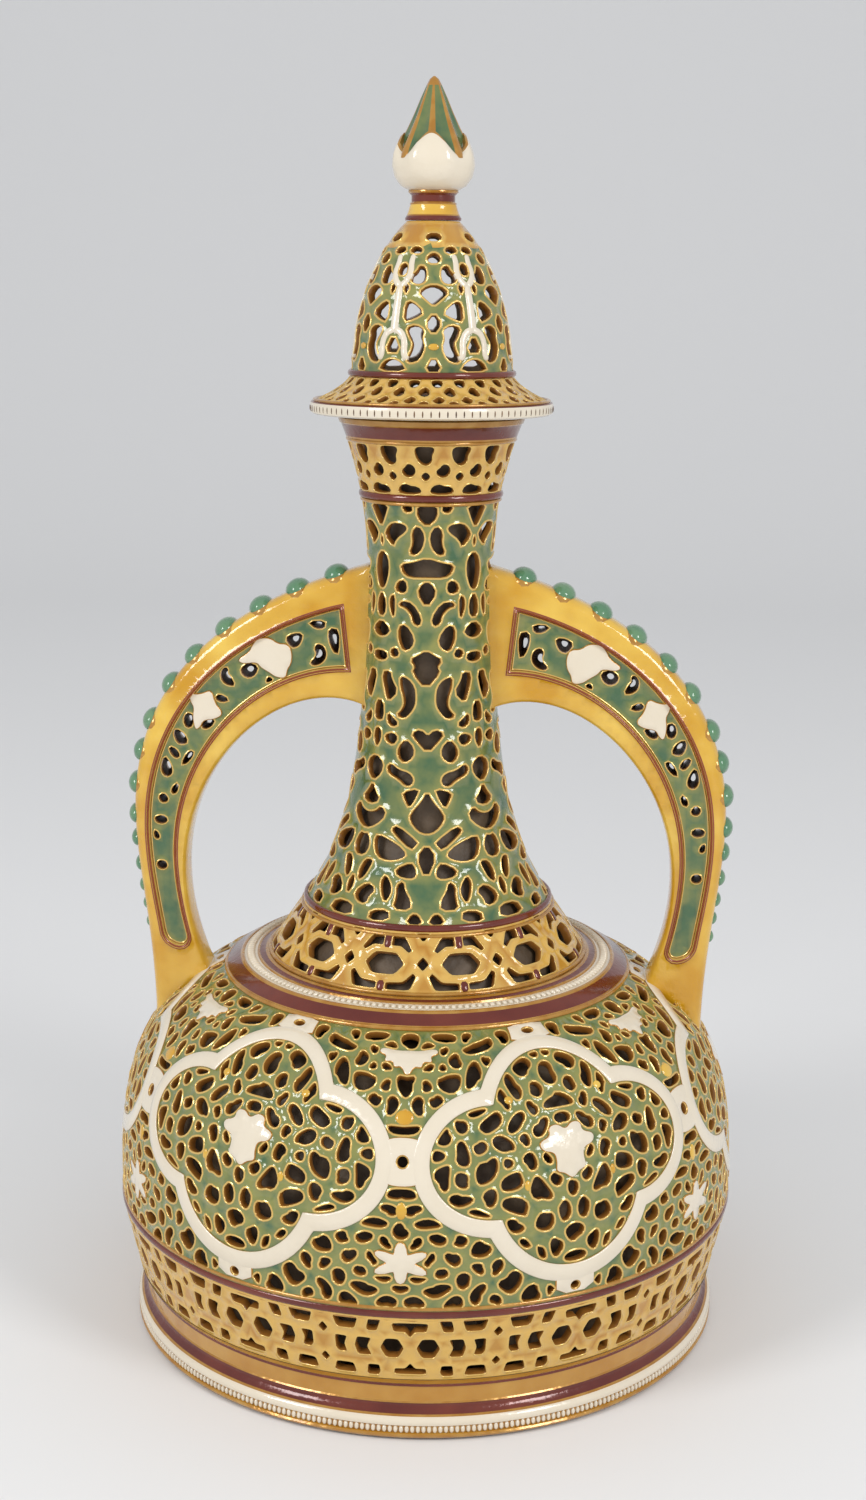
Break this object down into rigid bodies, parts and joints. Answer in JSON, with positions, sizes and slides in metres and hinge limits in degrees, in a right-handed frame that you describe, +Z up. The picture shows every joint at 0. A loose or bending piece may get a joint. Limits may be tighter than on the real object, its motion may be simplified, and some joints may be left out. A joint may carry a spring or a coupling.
{
  "type": "lidded double-walled pierced vase",
  "caption": "Glazed ceramic lidded vase with a pierced outer jacket round an inner vessel, a slim pierced neck, looped handles and a domed lid with a bud finial that lifts off.",
  "frame": {"origin": "centre of the foot, on the floor", "axes": "+Z up along the axis of the vase, +X through the right handle, -Y to the front"},
  "size_m": [0.1948, 0.1948, 0.3802],
  "materials": {
    "green_glaze": "glossy sage-green glaze",
    "ochre_glaze": "glossy ochre-yellow glaze",
    "cream_glaze": "glossy cream-white glaze",
    "maroon_glaze": "glossy maroon glaze",
    "gilding": "burnished gold lustre over the glaze",
    "clay": "matt beige body"
  },
  "bodies": {
    "vessel": {"foot_ring": "ochre_glaze", "base_disc": "clay", "inner_vessel": "clay", "neck_liner": "clay", "lower_band": "ochre_glaze", "body_shell": "green_glaze", "shoulder_ring": "maroon_glaze", "neck_collar": "ochre_glaze", "neck_shell": "green_glaze", "neck_band": "ochre_glaze", "mouth_rim": "maroon_glaze", "left_handle": "ochre_glaze", "right_handle": "ochre_glaze", "left_handle_panel": "green_glaze", "right_handle_panel": "green_glaze", "left_handle_jewels": "green_glaze", "right_handle_jewels": "green_glaze"},
    "lid": {"lid_spigot": "clay", "lid_flange": "cream_glaze", "lid_skirt": "ochre_glaze", "lid_dome": "green_glaze", "lid_collar": "gilding", "finial_bud": "cream_glaze", "finial_spire": "green_glaze"}
  },
  "joints": [
    {"name": "lid_lift", "type": "slide", "parent": "vessel", "child": "lid", "axis": [0, 0, 1], "range_m": [0, 0.12]}
  ]
}
